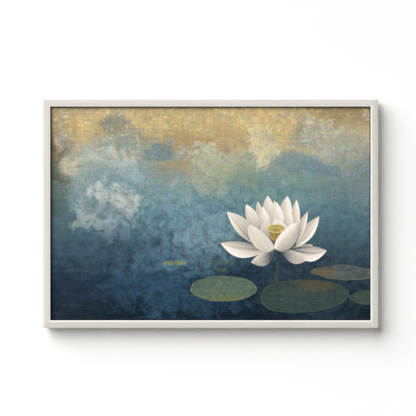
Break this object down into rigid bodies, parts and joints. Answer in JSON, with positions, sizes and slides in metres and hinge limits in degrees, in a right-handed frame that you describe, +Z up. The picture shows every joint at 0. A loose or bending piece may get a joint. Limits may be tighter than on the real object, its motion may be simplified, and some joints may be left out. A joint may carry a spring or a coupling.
{
  "type": "framed canvas painting",
  "caption": "Stretched canvas painting of lotus and lily pads in a slim off-white bevelled wooden frame, hung from hinged rings.",
  "frame": {"origin": "in the wall plane, midway between the pivots of the two hanging rings", "axes": "+X to the viewer's right along the picture's width, +Y into the wall, +Z up; the picture faces -Y"},
  "size_m": [0.957, 0.0385, 0.653],
  "materials": {
    "frame_paint": "off-white satin paint on wood, faint grain showing through",
    "painted_canvas": "matt painted cotton canvas, raw on the back",
    "acrylic_paint": "thick brushed acrylic paint, eggshell sheen",
    "stretcher_pine": "planed bare pine",
    "key_beech": "bare beech",
    "clip_steel": "zinc-plated steel",
    "hanger_brass": "brass-plated steel, bright",
    "bumper_rubber": "matt black rubber"
  },
  "bodies": {
    "framed_picture": {"brace_screw_bottom": "clip_steel", "brace_screw_top": "clip_steel", "bumper_bottom_left": "bumper_rubber", "bumper_bottom_right": "bumper_rubber", "bumper_top_left": "bumper_rubber", "bumper_top_right": "bumper_rubber", "canvas": "painted_canvas", "centre_brace": "stretcher_pine", "clip_screw_bottom_a": "clip_steel", "clip_screw_bottom_b": "clip_steel", "clip_screw_left_a": "clip_steel", "clip_screw_left_b": "clip_steel", "clip_screw_right_a": "clip_steel", "clip_screw_right_b": "clip_steel", "clip_screw_top_a": "clip_steel", "clip_screw_top_b": "clip_steel", "corner_key_bottom_a": "key_beech", "corner_key_bottom_b": "key_beech", "corner_key_left_a": "key_beech", "corner_key_left_b": "key_beech", "corner_key_right_a": "key_beech", "corner_key_right_b": "key_beech", "corner_key_top_a": "key_beech", "corner_key_top_b": "key_beech", "corner_nail_bottom_left": "clip_steel", "corner_nail_bottom_right": "clip_steel", "corner_nail_top_left": "clip_steel", "corner_nail_top_right": "clip_steel", "frame_rail_bottom": "frame_paint", "frame_rail_left": "frame_paint", "frame_rail_right": "frame_paint", "frame_rail_top": "frame_paint", "hanger_strap_left": "hanger_brass", "hanger_strap_right": "hanger_brass", "offset_clip_bottom_a": "clip_steel", "offset_clip_bottom_b": "clip_steel", "offset_clip_left_a": "clip_steel", "offset_clip_left_b": "clip_steel", "offset_clip_right_a": "clip_steel", "offset_clip_right_b": "clip_steel", "offset_clip_top_a": "clip_steel", "offset_clip_top_b": "clip_steel", "strap_screw_left_a": "hanger_brass", "strap_screw_left_b": "hanger_brass", "strap_screw_right_a": "hanger_brass", "strap_screw_right_b": "hanger_brass", "stretcher_bar_bottom": "stretcher_pine", "stretcher_bar_left": "stretcher_pine", "stretcher_bar_right": "stretcher_pine", "stretcher_bar_top": "stretcher_pine"},
    "ring_left": {"hanging_ring_left": "hanger_brass"},
    "ring_right": {"hanging_ring_right": "hanger_brass"}
  },
  "joints": [
    {"name": "ring_left_hinge", "type": "hinge", "parent": "framed_picture", "child": "ring_left", "pos_m": [-0.47125, -0.0039, 0], "axis": [1, 0, 0], "range_deg": [-160, 0]},
    {"name": "ring_right_hinge", "type": "hinge", "parent": "framed_picture", "child": "ring_right", "pos_m": [0.47125, -0.0039, 0], "axis": [1, 0, 0], "range_deg": [-160, 0]}
  ]
}
